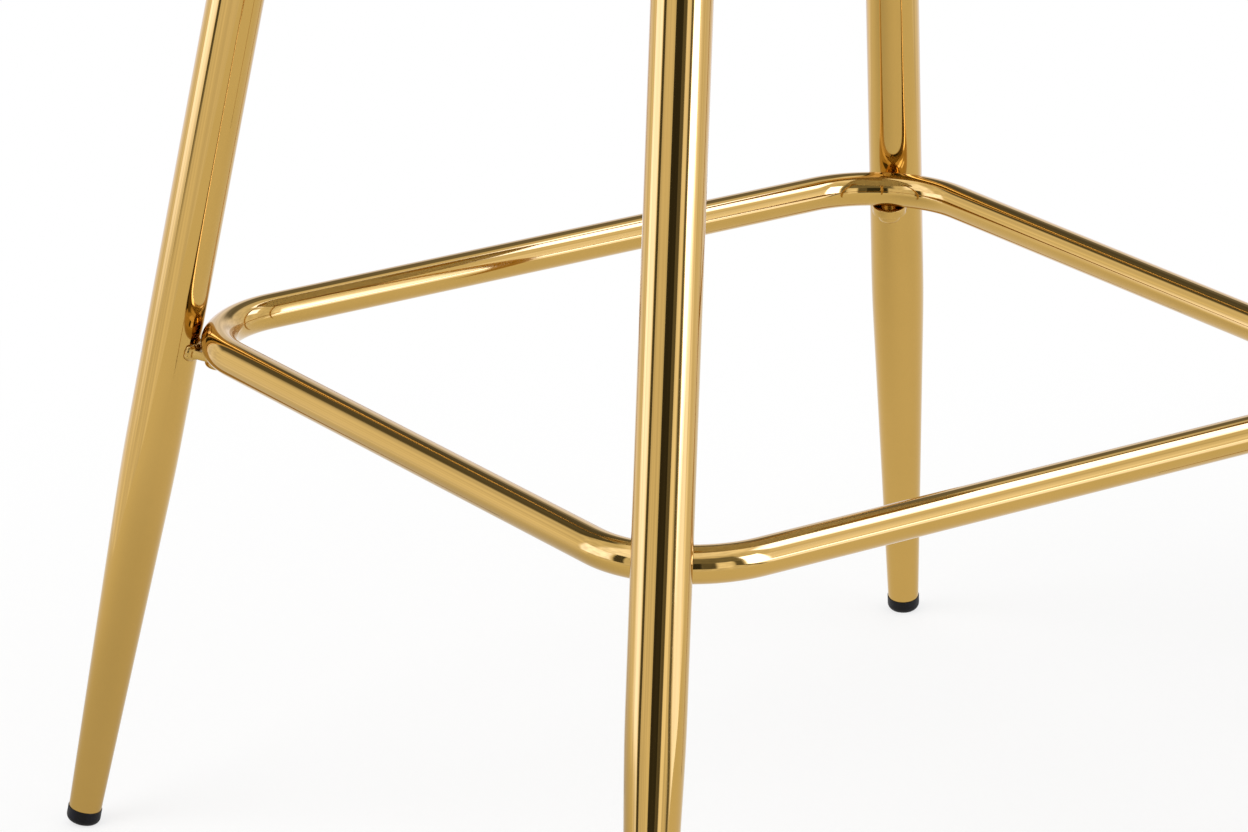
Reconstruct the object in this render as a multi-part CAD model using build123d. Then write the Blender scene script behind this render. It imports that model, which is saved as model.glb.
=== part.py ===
from build123d import *
import math
import os

# A padded counter stool on four splayed tube legs, with a bent footrest ring bolted to lugs on the legs.
# Millimetres, +Z up. The origin is on the floor, midway between the four feet. The front is -Y.

# Legs: round steel tube, straight at the top and swaged down to a slim foot
LEG_DIAMETER = 25.0
LEG_WALL = 1.5
LEG_FOOT_DIAMETER = 15.0
LEG_TAPER_LENGTH = 172.0
LEG_TAPER_BLEND = 44.0
LEG_SPLAY_ANGLE = 8.25
LEG_TOP_SPAN_X = 296.0
LEG_TOP_SPAN_Y = 274.0

# Plates on the leg tops, which carry the seat
FRAME_HEIGHT = 600.0
PLATE_SIZE = 60.0
PLATE_THICKNESS = 4.0
PLATE_CORNER_RADIUS = 8.0
PLATE_HOLE_SPACING = 44.0

# Foot glides pressed into the leg ends, square to the tube
GLIDE_HEIGHT = 7.2
GLIDE_OVERHANG = 0.3
GLIDE_EDGE_RADIUS = 3.0
GLIDE_TREAD_DEPTH = 0.5
GLIDE_PLUG_LENGTH = 20.0
GLIDE_RIB_HEIGHT = 0.9
GLIDE_RIB_WIDTH = 2.0
GLIDE_RIB_COUNT = 3

# Footrest ring: one bent tube inside the legs
FOOTREST_HEIGHT = 240.0
FOOTREST_TUBE_DIAMETER = 16.0
FOOTREST_TUBE_WALL = 1.2
FOOTREST_BEND_RADIUS = 48.0
FOOTREST_LEG_GAP = 1.0

# Lugs welded to the legs under the ring's corners, square to the tube
LUG_WIDTH = 16.0
LUG_THICKNESS = 4.0

# Threaded inserts set in the underside of the ring
INSERT_DIAMETER = 9.0
INSERT_LENGTH = 11.0

# Button-head screws and plain washers, one size throughout
SCREW_DIAMETER = 6.0
SCREW_HEAD_DIAMETER = 10.5
SCREW_HEAD_HEIGHT = 3.3
SCREW_HEAD_ROUND = 2.2
SCREW_SOCKET_WIDTH = 4.0
SCREW_SOCKET_DEPTH = 2.0
RING_SCREW_LENGTH = 16.0
SEAT_SCREW_LENGTH = 20.0
WASHER_DIAMETER = 12.5
WASHER_THICKNESS = 1.2

# Tee nuts in the seat board
TEE_NUT_FLANGE_DIAMETER = 19.0
TEE_NUT_FLANGE_THICKNESS = 1.5
TEE_NUT_BARREL_DIAMETER = 8.0
TEE_NUT_LENGTH = 12.0

# Seat: plywood board, foam and a boxed cover with a piped seam
SEAT_OVERHANG = 38.0
SEAT_CORNER_RADIUS = 72.0
SEAT_CROWN = 12.0
SEAT_EDGE_ROUND = 14.0
BOARD_THICKNESS = 15.0
FOAM_THICKNESS = 52.0
FABRIC_THICKNESS = 1.5
BAND_HEIGHT = 36.0
WELT_DIAMETER = 5.0
TURN_UNDER_WIDTH = 26.0
STAPLE_LENGTH = 10.0
STAPLE_WIRE = 1.2
STAPLE_HEIGHT = 0.7
STAPLE_SPACING = 34.0

# Clearances between fitted pieces
THREAD_CLEARANCE = 0.05
PRESS_CLEARANCE = 0.05
SCREW_HOLE_CLEARANCE = 0.3
FABRIC_CLEARANCE = 0.3

# Leg line: the lean is the same from the front and from the side, so it runs along the corner's diagonal
SPLAY_SLOPE = math.tan(math.radians(LEG_SPLAY_ANGLE))
DIAGONAL_SLOPE = math.sqrt(2) * SPLAY_SLOPE
LEAN_STRETCH = math.sqrt(1 + DIAGONAL_SLOPE**2)
LEG_TOP_Z = FRAME_HEIGHT - PLATE_THICKNESS

# Glides: the rounded edge comes lowest on the inner side of the leg, and has a level tread there
GLIDE_RADIUS = LEG_FOOT_DIAMETER / 2 + GLIDE_OVERHANG
GLIDE_SOLE_RADIUS = GLIDE_RADIUS - GLIDE_EDGE_RADIUS
GLIDE_SIDE = GLIDE_HEIGHT - GLIDE_EDGE_RADIUS
GLIDE_DROP = (GLIDE_SIDE + GLIDE_SOLE_RADIUS * DIAGONAL_SLOPE) / LEAN_STRETCH + GLIDE_EDGE_RADIUS
LEG_END_Z = GLIDE_DROP - GLIDE_TREAD_DEPTH
LEG_LENGTH = (LEG_TOP_Z - LEG_END_Z) * LEAN_STRETCH

# Ring: each corner bend stops just short of its leg
RING_TUBE_RADIUS = FOOTREST_TUBE_DIAMETER / 2
LUG_REACH = RING_TUBE_RADIUS + FOOTREST_LEG_GAP + LEG_DIAMETER / 2
RING_TO_LEG = LUG_REACH * LEAN_STRETCH
RING_INSET = (FOOTREST_BEND_RADIUS + RING_TO_LEG) / math.sqrt(2) - FOOTREST_BEND_RADIUS

# Seat stack, from the plates up
SEAT_HALF_X = LEG_TOP_SPAN_X / 2 + PLATE_SIZE / 2 + SEAT_OVERHANG
SEAT_HALF_Y = LEG_TOP_SPAN_Y / 2 + PLATE_SIZE / 2 + SEAT_OVERHANG
BOARD_INSET = FABRIC_THICKNESS + FABRIC_CLEARANCE
BOARD_BOTTOM_Z = FRAME_HEIGHT + FABRIC_THICKNESS
BOARD_TOP_Z = BOARD_BOTTOM_Z + BOARD_THICKNESS
SEAT_TOP_Z = BOARD_TOP_Z + FOAM_THICKNESS + BOARD_INSET
SEAM_Z = FRAME_HEIGHT + BAND_HEIGHT
WINDOW_INSET = BOARD_INSET + TURN_UNDER_WIDTH

# Corners of the stool, as signs along X and Y
CORNERS = {
    "front_left": (-1, -1),
    "front_right": (1, -1),
    "rear_right": (1, 1),
    "rear_left": (-1, 1),
}
STANDING = (Align.CENTER, Align.CENTER, Align.MIN)
HANGING = (Align.CENTER, Align.CENTER, Align.MAX)


def leg_point(side_x, side_y, z):
    """The leg's centre line at height z."""
    spread = SPLAY_SLOPE * (LEG_TOP_Z - z)
    return Vector(side_x * (LEG_TOP_SPAN_X / 2 + spread), side_y * (LEG_TOP_SPAN_Y / 2 + spread), z)


def leg_frame(side_x, side_y):
    """A leg's own frame: its origin at the tube's foot end, its Z up along the tube."""
    foot = leg_point(side_x, side_y, LEG_END_Z)
    top = leg_point(side_x, side_y, LEG_TOP_Z)
    return Plane(origin=foot, x_dir=(side_x, -side_y, 0), z_dir=top - foot)


def leg_radius(along, inset=0):
    """Radius of the swaged stretch at a distance along the leg, without the blend."""
    taper = (LEG_DIAMETER - LEG_FOOT_DIAMETER) / 2 / LEG_TAPER_LENGTH
    return LEG_FOOT_DIAMETER / 2 + taper * along - inset


def leg_form(inset):
    """Solid of revolution inside the leg's outer surface, in the leg's own frame, long past the top."""
    blend_start = LEG_TAPER_LENGTH - LEG_TAPER_BLEND / 2
    blend_end = LEG_TAPER_LENGTH + LEG_TAPER_BLEND / 2
    top = LEG_LENGTH + LEG_DIAMETER
    radius = LEG_DIAMETER / 2 - inset
    foot = (leg_radius(0, inset), 0)
    start = (leg_radius(blend_start, inset), blend_start)
    swage = Line(foot, start)
    blend = Bezier(start, (radius, LEG_TAPER_LENGTH), (radius, blend_end))
    rest = Polyline((radius, blend_end), (radius, top), (0, top), (0, 0), foot)
    return revolve(Plane.XZ * make_face([swage, blend, rest]), Axis.Z)


def leg_tube(side_x, side_y):
    tube = leg_frame(side_x, side_y) * (leg_form(0) - leg_form(LEG_WALL))
    return split(tube, bisect_by=Plane.XY.offset(LEG_TOP_Z), keep=Keep.BOTTOM)


def leg_plate(side_x, side_y):
    blank = extrude(RectangleRounded(PLATE_SIZE, PLATE_SIZE, PLATE_CORNER_RADIUS), PLATE_THICKNESS)
    hole = Cylinder(SCREW_DIAMETER / 2 + SCREW_HOLE_CLEARANCE, PLATE_THICKNESS, align=STANDING)
    holes = GridLocations(PLATE_HOLE_SPACING, PLATE_HOLE_SPACING, 2, 2)
    return Location(leg_point(side_x, side_y, LEG_TOP_Z)) * (blank - [place * hole for place in holes])


def foot_glide(side_x, side_y):
    """Plastic glide: a ribbed plug in the tube and a round-edged head with a level tread."""
    head = Cylinder(GLIDE_RADIUS, GLIDE_HEIGHT, align=HANGING)
    head = fillet(head.edges().group_by(Axis.Z)[0], GLIDE_EDGE_RADIUS)
    core_radius = leg_radius(0, LEG_WALL + PRESS_CLEARANCE) - GLIDE_RIB_HEIGHT
    plug = Cylinder(core_radius, GLIDE_PLUG_LENGTH, align=STANDING)
    pitch = GLIDE_PLUG_LENGTH / (GLIDE_RIB_COUNT + 1)
    for number in range(1, GLIDE_RIB_COUNT + 1):
        start = number * pitch - GLIDE_RIB_WIDTH / 2
        rib_radius = leg_radius(start, LEG_WALL + PRESS_CLEARANCE)
        plug += Pos(0, 0, start) * Cylinder(rib_radius, GLIDE_RIB_WIDTH, align=STANDING)
    glide = leg_frame(side_x, side_y) * (head + plug)
    return split(glide, bisect_by=Plane.XY, keep=Keep.TOP)


def ring_half_sizes():
    """Half width and half depth of the ring's centre line, set by the legs at its height."""
    leg = leg_point(1, 1, FOOTREST_HEIGHT)
    return leg.X - RING_INSET, leg.Y - RING_INSET


def lug_frame(side_x, side_y):
    """A lug's own frame, square to its leg: origin under the middle of the bend, X towards the leg."""
    half_x, half_y = ring_half_sizes()
    reach = FOOTREST_BEND_RADIUS * (1 - math.sqrt(0.5))
    bend = Vector(side_x * (half_x - reach), side_y * (half_y - reach), FOOTREST_HEIGHT)
    up = leg_frame(side_x, side_y).z_dir
    return Plane(origin=bend - up * RING_TUBE_RADIUS, x_dir=(side_x, side_y, 2 * SPLAY_SLOPE), z_dir=up)


def ring_form(radius):
    half_x, half_y = ring_half_sizes()
    line = Pos(0, 0, FOOTREST_HEIGHT) * RectangleRounded(2 * half_x, 2 * half_y, FOOTREST_BEND_RADIUS)
    path = line.face().outer_wire()
    section = Plane(origin=path @ 0, z_dir=path % 0) * Circle(radius)
    return sweep(section, path)


def footrest_ring():
    ring = ring_form(RING_TUBE_RADIUS) - ring_form(RING_TUBE_RADIUS - FOOTREST_TUBE_WALL)
    hole = Cylinder(INSERT_DIAMETER / 2 + PRESS_CLEARANCE, RING_TUBE_RADIUS, align=STANDING)
    for side_x, side_y in CORNERS.values():
        ring -= lug_frame(side_x, side_y) * hole
    return ring


def footrest_lug(side_x, side_y):
    """Flat tab under the bend: its round end is under the screw, its other end is shaped to the leg."""
    hole_radius = SCREW_DIAMETER / 2 + SCREW_HOLE_CLEARANCE
    arm = Rectangle(LUG_REACH, LUG_WIDTH, align=(Align.MIN, Align.CENTER))
    outline = Circle(LUG_WIDTH / 2) + arm - Circle(hole_radius)
    tab = lug_frame(side_x, side_y) * extrude(outline, -LUG_THICKNESS)
    return tab - leg_frame(side_x, side_y) * leg_form(0)


def threaded_insert():
    """Insert with its foot at the origin, bored for the screw."""
    body = Cylinder(INSERT_DIAMETER / 2, INSERT_LENGTH, align=STANDING)
    return body - Cylinder(SCREW_DIAMETER / 2 + THREAD_CLEARANCE, INSERT_LENGTH, align=STANDING)


def washer():
    """Plain washer hanging below the origin."""
    disc = Cylinder(WASHER_DIAMETER / 2, WASHER_THICKNESS, align=HANGING)
    return disc - Cylinder(SCREW_DIAMETER / 2 + SCREW_HOLE_CLEARANCE, WASHER_THICKNESS, align=HANGING)


def button_screw(length):
    """Button-head screw pointing up, the underside of its head at the origin."""
    head = Cylinder(SCREW_HEAD_DIAMETER / 2, SCREW_HEAD_HEIGHT, align=HANGING)
    head = fillet(head.edges().group_by(Axis.Z)[0], SCREW_HEAD_ROUND)
    socket = extrude(RegularPolygon(SCREW_SOCKET_WIDTH / 2, 6, major_radius=False), SCREW_SOCKET_DEPTH)
    shank = Cylinder(SCREW_DIAMETER / 2, length, align=STANDING)
    return head - Pos(0, 0, -SCREW_HEAD_HEIGHT) * socket + shank


def tee_nut():
    """Tee nut hanging below the origin, its flange on top."""
    flange = Cylinder(TEE_NUT_FLANGE_DIAMETER / 2, TEE_NUT_FLANGE_THICKNESS, align=HANGING)
    barrel = Cylinder(TEE_NUT_BARREL_DIAMETER / 2, TEE_NUT_LENGTH, align=HANGING)
    return flange + barrel - Cylinder(SCREW_DIAMETER / 2 + THREAD_CLEARANCE, TEE_NUT_LENGTH, align=HANGING)


def ring_screw_places(drop):
    """The four screw lines under the ring, at a distance below the tops of the lugs."""
    return [lug_frame(side_x, side_y).offset(-drop) for side_x, side_y in CORNERS.values()]


def seat_screw_places(z):
    """Every plate's screw holes, at height z."""
    places = []
    for side_x, side_y in CORNERS.values():
        plate = leg_point(side_x, side_y, LEG_TOP_Z)
        for hole in GridLocations(PLATE_HOLE_SPACING, PLATE_HOLE_SPACING, 2, 2):
            places.append(Pos(plate.X, plate.Y, z) * hole)
    return places


def seat_outline(inset):
    """The seat's plan, drawn in from the outside of its cover."""
    width = 2 * (SEAT_HALF_X - inset)
    depth = 2 * (SEAT_HALF_Y - inset)
    return RectangleRounded(width, depth, SEAT_CORNER_RADIUS - inset)


def seat_form(inset, bottom):
    """The seat's crowned block, drawn in from the outside of its cover, down to a flat bottom."""
    dome_radius = (SEAT_HALF_X**2 + SEAT_CROWN**2) / (2 * SEAT_CROWN)
    dome = Pos(0, 0, SEAT_TOP_Z - dome_radius) * Sphere(dome_radius - inset)
    block = Pos(0, 0, bottom) * extrude(seat_outline(inset), SEAT_TOP_Z - bottom) & dome
    rim = block.faces().sort_by(Axis.Z)[-1].outer_wire().edges()
    return fillet(rim, SEAT_EDGE_ROUND - inset)


def seat_board():
    blank = Pos(0, 0, BOARD_BOTTOM_Z) * extrude(seat_outline(BOARD_INSET), BOARD_THICKNESS)
    barrel = Cylinder(TEE_NUT_BARREL_DIAMETER / 2 + PRESS_CLEARANCE, BOARD_THICKNESS, align=HANGING)
    flange_radius = TEE_NUT_FLANGE_DIAMETER / 2 + PRESS_CLEARANCE
    seat = barrel + Cylinder(flange_radius, TEE_NUT_FLANGE_THICKNESS, align=HANGING)
    return blank - [place * seat for place in seat_screw_places(BOARD_TOP_Z)]


def seat_foam():
    return seat_form(BOARD_INSET, BOARD_TOP_Z)


def cover_shell():
    return seat_form(0, FRAME_HEIGHT) - seat_form(FABRIC_THICKNESS, BOARD_BOTTOM_Z)


def seat_top_panel():
    return split(cover_shell(), bisect_by=Plane.XY.offset(SEAM_Z), keep=Keep.TOP)


def seat_side_band():
    """The band round the sides, with its lower edge turned under the board."""
    band = split(cover_shell(), bisect_by=Plane.XY.offset(SEAM_Z), keep=Keep.BOTTOM)
    return band - Pos(0, 0, FRAME_HEIGHT) * extrude(seat_outline(WINDOW_INSET), FABRIC_THICKNESS)


def seat_welt():
    """Piping that covers the seam between the top panel and the band."""
    line = Pos(0, 0, SEAM_Z) * seat_outline(-WELT_DIAMETER / 2)
    path = line.face().outer_wire()
    section = Plane(origin=path @ 0, z_dir=path % 0) * Circle(WELT_DIAMETER / 2)
    return sweep(section, path)


def seat_lining():
    """Lining inside the turned-under edge, between the board and the plates."""
    outline = seat_outline(WINDOW_INSET + FABRIC_CLEARANCE)
    sheet = Pos(0, 0, FRAME_HEIGHT) * extrude(outline, FABRIC_THICKNESS)
    hole = Cylinder(SCREW_DIAMETER / 2 + SCREW_HOLE_CLEARANCE, FABRIC_THICKNESS, align=STANDING)
    return sheet - [place * hole for place in seat_screw_places(FRAME_HEIGHT)]


def cover_staples():
    """Staple crowns along the middle of the turned-under edge."""
    line = Pos(0, 0, FRAME_HEIGHT) * seat_outline(BOARD_INSET + TURN_UNDER_WIDTH / 2)
    path = line.face().outer_wire()
    count = round(path.length / STAPLE_SPACING)
    crown = Box(STAPLE_LENGTH, STAPLE_WIRE, STAPLE_HEIGHT, align=HANGING)
    staples = []
    for number in range(count):
        along = number / count
        staples.append(Plane(origin=path @ along, x_dir=path % along, z_dir=(0, 0, 1)) * crown)
    return staples


def write_node(name, solids):
    """Write one sub-part. Like pieces that share a node stay separate solids."""
    shape = Compound(children=solids) if isinstance(solids, list) else solids
    export_step(shape, f"parts/{name}.step")


os.makedirs("parts", exist_ok=True)

for corner, sides in CORNERS.items():
    write_node(f"leg_tube_{corner}", leg_tube(*sides))
    write_node(f"leg_plate_{corner}", leg_plate(*sides))
    write_node(f"foot_glide_{corner}", foot_glide(*sides))
    write_node(f"footrest_lug_{corner}", footrest_lug(*sides))

ring_screw = button_screw(RING_SCREW_LENGTH)
ring_heads = ring_screw_places(LUG_THICKNESS + WASHER_THICKNESS)
write_node("footrest_ring", footrest_ring())
write_node("footrest_inserts", [place * threaded_insert() for place in ring_screw_places(0)])
write_node("footrest_washers", [place * washer() for place in ring_screw_places(LUG_THICKNESS)])
write_node("footrest_screws", [place * ring_screw for place in ring_heads])

seat_screw = button_screw(SEAT_SCREW_LENGTH)
seat_heads = seat_screw_places(LEG_TOP_Z - WASHER_THICKNESS)
write_node("seat_washers", [place * washer() for place in seat_screw_places(LEG_TOP_Z)])
write_node("seat_screws", [place * seat_screw for place in seat_heads])
write_node("seat_tee_nuts", [place * tee_nut() for place in seat_screw_places(BOARD_TOP_Z)])
write_node("seat_board", seat_board())
write_node("seat_foam", seat_foam())
write_node("seat_lining", seat_lining())
write_node("seat_top_panel", seat_top_panel())
write_node("seat_side_band", seat_side_band())
write_node("seat_welt", seat_welt())
write_node("cover_staples", cover_staples())
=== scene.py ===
import math

import bmesh
import bpy
from mathutils import Matrix, Vector, noise
from mathutils.bvhtree import BVHTree


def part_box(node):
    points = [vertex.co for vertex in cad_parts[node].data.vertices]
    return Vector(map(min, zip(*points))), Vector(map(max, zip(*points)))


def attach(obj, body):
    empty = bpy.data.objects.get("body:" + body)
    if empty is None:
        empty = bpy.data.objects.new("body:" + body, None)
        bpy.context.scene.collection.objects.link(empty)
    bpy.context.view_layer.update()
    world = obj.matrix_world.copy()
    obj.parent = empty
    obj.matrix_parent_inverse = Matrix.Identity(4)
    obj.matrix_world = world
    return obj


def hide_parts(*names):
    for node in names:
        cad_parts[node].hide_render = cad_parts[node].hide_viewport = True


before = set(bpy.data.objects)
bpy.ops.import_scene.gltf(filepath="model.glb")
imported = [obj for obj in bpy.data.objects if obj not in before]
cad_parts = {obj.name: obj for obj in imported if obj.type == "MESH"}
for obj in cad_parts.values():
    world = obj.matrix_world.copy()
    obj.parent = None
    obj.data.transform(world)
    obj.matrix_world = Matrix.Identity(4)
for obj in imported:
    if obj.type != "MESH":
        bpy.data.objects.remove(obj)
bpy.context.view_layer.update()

# Legs
# Four lengths of 25 mm steel tube with a 1.5 mm wall, swaged to a slim foot over the lowest 172 mm and
# mitred to the seat plates. Polished and then plated in gold, they mirror the studio in long stripes.
CORNERS = {
    "front_left": (-1, -1),
    "front_right": (1, -1),
    "rear_right": (1, 1),
    "rear_left": (-1, 1),
}
LEG_DIAMETER = 0.025
LEG_WALL = 0.0015
LEG_FOOT_DIAMETER = 0.015
LEG_TAPER_LENGTH = 0.172
LEG_TAPER_BLEND = 0.044
LEG_SPLAY = math.tan(math.radians(8.25))
LEG_STRETCH = math.sqrt(1 + 2 * LEG_SPLAY**2)
LEG_LEAN = math.sqrt(2) * LEG_SPLAY / LEG_STRETCH
LEG_END_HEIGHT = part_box("leg_tube_front_left")[0].z + LEG_LEAN * LEG_FOOT_DIAMETER / 2
LEG_SIDES = 72
LEG_RINGS = 110
NOISE_SPAN = {"From Min": 0.3, "From Max": 0.7}


def add(tree, kind, inputs=None, **settings):
    """Add a node with its settings and inputs. A shader node goes by its short name."""
    node = tree.nodes.new(kind if "Node" in kind else f"ShaderNode{kind}")
    for name, value in settings.items():
        setattr(node, name, value)
    return wire(tree, node, inputs or {})


def wire(tree, node, inputs):
    """Set a node's inputs to values, sockets, or nodes taken by their first output in use."""
    for key, value in inputs.items():
        socket = node.inputs[key]
        if isinstance(key, str):
            named = [each for each in node.inputs if each.name == key]
            socket = next((each for each in named if each.enabled), socket)
        if isinstance(value, bpy.types.Node):
            value = next(each for each in value.outputs if each.enabled)
        if isinstance(value, bpy.types.NodeSocket):
            tree.links.new(value, socket)
        else:
            socket.default_value = value
    return node


def colour(code):
    """An sRGB hex colour as linear RGBA."""
    shares = [int(code[place:place + 2], 16) / 255 for place in (1, 3, 5)]
    linear = [s / 12.92 if s <= 0.04045 else ((s + 0.055) / 1.055) ** 2.4 for s in shares]
    return (*linear, 1.0)


def new_material(name):
    """An empty material with its node tree, its shader and the piece's own coordinates."""
    material = bpy.data.materials.new(name)
    material.use_nodes = True
    tree = material.node_tree
    place = add(tree, "TexCoord").outputs["Object"]
    return material, tree, tree.nodes["Principled BSDF"], place


def gold_plating(name, roughness, ripple_width, ripple_depth):
    """Brass-toned plating on steel: a mirror with a faint haze and the ripple left by polishing."""
    tone_width = 0.06
    haze_width = 0.008
    material, tree, shader, place = new_material(name)
    tone = add(tree, "TexNoise", {"Vector": place, "Scale": 1 / tone_width, "Detail": 3.0})
    shades = {"Factor": tone, "A": colour("#BF9A50"), "B": colour("#C9A35A")}
    shade = add(tree, "Mix", shades, data_type="RGBA")
    haze = add(tree, "TexNoise", {"Vector": place, "Scale": 1 / haze_width, "Detail": 5.0})
    gloss = {"Value": haze, **NOISE_SPAN, "To Min": 0.8 * roughness, "To Max": 1.25 * roughness}
    gloss = add(tree, "MapRange", gloss)
    ripple = add(tree, "TexNoise", {"Vector": place, "Scale": 1 / ripple_width, "Detail": 1.0})
    bump = add(tree, "Bump", {"Height": ripple, "Distance": ripple_depth})
    wire(tree, shader, {"Base Color": shade, "Roughness": gloss, "Normal": bump, "Metallic": 1.0})
    return material


def new_tree(name, **sizes):
    """An empty Geometry Nodes tree with inputs named by their kind, and the sockets that give them."""
    tree = bpy.data.node_groups.new(name, "GeometryNodeTree")
    tree.interface.new_socket("Geometry", in_out="OUTPUT", socket_type="NodeSocketGeometry")
    kinds = {"Geometry": ["Geometry"], **sizes, "Material": ["Material"]}
    for kind, labels in kinds.items():
        for label in labels:
            tree.interface.new_socket(label, in_out="INPUT", socket_type=f"NodeSocket{kind}")
    return tree, add(tree, "NodeGroupInput").outputs


def end_tree(tree, given, shape):
    """Realise what the tree has made and give it its material."""
    real = add(tree, "GeometryNodeRealizeInstances", {"Geometry": shape})
    finished = add(tree, "GeometryNodeSetMaterial", {"Geometry": real, "Material": given["Material"]})
    add(tree, "NodeGroupOutput", {"Geometry": finished})


def new_piece(name, data):
    """An object in the scene."""
    piece = bpy.data.objects.new(name, data)
    bpy.context.scene.collection.objects.link(piece)
    return piece


def grow(name, tree, values, start=None):
    """A piece with a tree on it, its inputs set, still to be settled."""
    piece = new_piece(name, start or bpy.data.meshes.new(name))
    modifier = piece.modifiers.new("Shape", "NODES")
    modifier.node_group = tree
    for item in tree.interface.items_tree:
        if item.in_out == "INPUT" and item.name in values:
            modifier[item.identifier] = values[item.name]
    return piece


def thicken(piece, thickness, offset=-1.0):
    """Give a skin its thickness, inwards unless told otherwise."""
    wall = piece.modifiers.new("Wall", "SOLIDIFY")
    wall.thickness = thickness
    wall.offset = offset


def settle(piece, material, sharp=40):
    """Turn a piece and its modifiers into one plain mesh, smooth but for edges sharper than this."""
    evaluated = piece.evaluated_get(bpy.context.evaluated_depsgraph_get())
    mesh = bpy.data.meshes.new_from_object(evaluated)
    piece.modifiers.clear()
    piece.data = mesh
    mesh.name = piece.name
    mesh.materials.clear()
    mesh.materials.append(material)
    mesh.shade_smooth()
    mesh.set_sharp_from_angle(angle=math.radians(sharp))
    return piece


def fit(piece, slot, *nodes):
    """Fix a piece to the stool in place of the plain solids that it stands for, and hide them; the slot is
    not used.
    """
    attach(piece, "root")
    if nodes:
        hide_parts(*nodes)


def leg_point(corner, z):
    """The leg's centre line at height z, from the plate on its top."""
    side_x, side_y = CORNERS[corner]
    low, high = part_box(f"leg_plate_{corner}")
    spread = LEG_SPLAY * (low.z - z)
    return Vector(((low.x + high.x) / 2 + side_x * spread, (low.y + high.y) / 2 + side_y * spread, z))


def swaged_tube_tree():
    """A tube along a straight line, tapering to its foot, its top end mitred level."""
    places = ["Foot", "Top", "Lean"]
    lengths = ["Diameter", "Foot Diameter", "Taper", "Blend"]
    tree, given = new_tree("Swaged tube", Vector=places, Float=lengths, Int=["Sides", "Rings"])
    line = add(tree, "GeometryNodeCurvePrimitiveLine", {"Start": given["Foot"], "End": given["Top"]})
    rings = add(tree, "GeometryNodeResampleCurve", {"Curve": line, "Count": given["Rings"]})
    along = add(tree, "GeometryNodeSplineParameter")
    foot = add(tree, "Math", {0: given["Foot Diameter"], 1: 0.5}, operation="MULTIPLY")
    full = add(tree, "Math", {0: given["Diameter"], 1: 0.5}, operation="MULTIPLY")
    gain = add(tree, "Math", {0: full, 1: foot}, operation="SUBTRACT")
    slope = add(tree, "Math", {0: gain, 1: given["Taper"]}, operation="DIVIDE")
    swage = add(tree, "Math", {0: along.outputs["Length"], 1: slope, 2: foot}, operation="MULTIPLY_ADD")
    soft = add(tree, "Math", {0: given["Blend"], 1: slope}, operation="MULTIPLY")
    radius = add(tree, "Math", {0: swage, 1: full, 2: soft}, operation="SMOOTH_MIN")
    marked = add(tree, "GeometryNodeCaptureAttribute")
    marked.capture_items.new("FLOAT", "Share")
    wire(tree, marked, {"Geometry": rings, "Share": along.outputs["Factor"]})
    circle = add(tree, "GeometryNodeCurvePrimitiveCircle", {"Resolution": given["Sides"], "Radius": 1.0})
    skin = {"Curve": marked.outputs["Geometry"], "Profile Curve": circle.outputs["Curve"], "Scale": radius}
    tube = add(tree, "GeometryNodeCurveToMesh", skin)
    last = add(tree, "Math", {0: marked.outputs["Share"], 1: 0.9999}, operation="GREATER_THAN")
    place = add(tree, "GeometryNodeInputPosition")
    short = add(tree, "VectorMath", {0: given["Top"], 1: place}, operation="SUBTRACT")
    height = add(tree, "SeparateXYZ", {"Vector": short})
    step = add(tree, "VectorMath", {0: given["Lean"], "Scale": height.outputs["Z"]}, operation="SCALE")
    mitre = add(tree, "GeometryNodeSetPosition", {"Geometry": tube, "Selection": last, "Offset": step})
    end_tree(tree, given, mitre)
    return tree


polished_gold = gold_plating("Polished_gold_plating", 0.055, ripple_width=0.016, ripple_depth=0.00001)
leg_tree = swaged_tube_tree()
for corner, (side_x, side_y) in CORNERS.items():
    plate_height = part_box(f"leg_plate_{corner}")[0].z
    leg_sizes = {
        "Foot": leg_point(corner, LEG_END_HEIGHT),
        "Top": leg_point(corner, plate_height),
        "Lean": Vector((-side_x * LEG_SPLAY, -side_y * LEG_SPLAY, 1)),
        "Diameter": LEG_DIAMETER,
        "Foot Diameter": LEG_FOOT_DIAMETER,
        "Taper": LEG_TAPER_LENGTH,
        "Blend": LEG_TAPER_BLEND / 2,
        "Sides": LEG_SIDES,
        "Rings": LEG_RINGS,
        "Material": polished_gold,
    }
    leg = grow(f"leg_{corner}", leg_tree, leg_sizes)
    thicken(leg, LEG_WALL)
    settle(leg, polished_gold)
    fit(leg, "gold_plate", f"leg_tube_{corner}")

# Leg plates
# Four 60 mm squares of 4 mm steel plate, each with four screw holes, welded level on a leg's mitred top.
# They are ground and plated but not polished, and the weld runs round the leg as a bead of fused drops.
PLATE_EASE = 0.0006
PLATE_WELD_WIDTH = 0.0036
WELD_STEP = 0.42
WELD_UNEVEN = 0.12
WELD_GRAIN = 0.0004
WELD_POINTS = 72


def eased(name, slot, material, width, *nodes):
    """Solid parts with their sharp edges eased by this width, as one piece."""
    mesh = bpy.data.meshes.new(name)
    solid = bmesh.new()
    for node in nodes:
        solid.from_mesh(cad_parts[node].data)
    bmesh.ops.remove_doubles(solid, verts=solid.verts, dist=0.000001)
    bmesh.ops.dissolve_limit(solid, angle_limit=math.radians(1), verts=solid.verts, edges=solid.edges)
    solid.to_mesh(mesh)
    solid.free()
    piece = new_piece(name, mesh)
    ease = piece.modifiers.new("Ease", "BEVEL")
    ease.width = width
    ease.segments = 3
    ease.limit_method = "ANGLE"
    ease.angle_limit = math.radians(38)
    settle(piece, material)
    fit(piece, slot, *nodes)


def dress(material, *names):
    """Give solid parts their finish."""
    for name in names:
        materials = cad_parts[name].data.materials
        for number in range(len(materials)):
            materials[number] = material


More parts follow.
